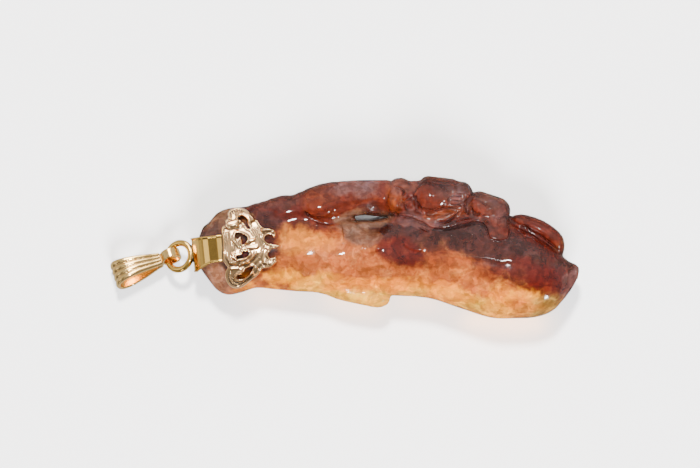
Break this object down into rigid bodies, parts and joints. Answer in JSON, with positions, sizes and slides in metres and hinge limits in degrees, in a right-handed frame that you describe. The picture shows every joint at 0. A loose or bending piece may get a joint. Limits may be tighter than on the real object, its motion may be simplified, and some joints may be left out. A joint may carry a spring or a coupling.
{
  "type": "jade pendant with gold cap and bail",
  "caption": "Carved jade pendant with a pierced window, a crouching beast on its back, a pierced gold end cap, a ring and a tapered fluted bail.",
  "frame": {"origin": "middle of the pendant's footprint, on the surface that it lies on", "axes": "+X from the bail to the tip of the stone, +Y towards the carved beast, +Z out of the carved front"},
  "size_m": [0.0626, 0.0186, 0.0094],
  "materials": {
    "jade": "polished translucent russet, honey and pale yellow-green jade",
    "cap_gold": "cast and polished gold, softened by wear",
    "bail_gold": "polished gold sheet"
  },
  "bodies": {
    "root": {"jade_carving": "jade", "gold_cap": "cap_gold", "cap_pin": "cap_gold", "bail": "bail_gold"}
  },
  "joints": []
}
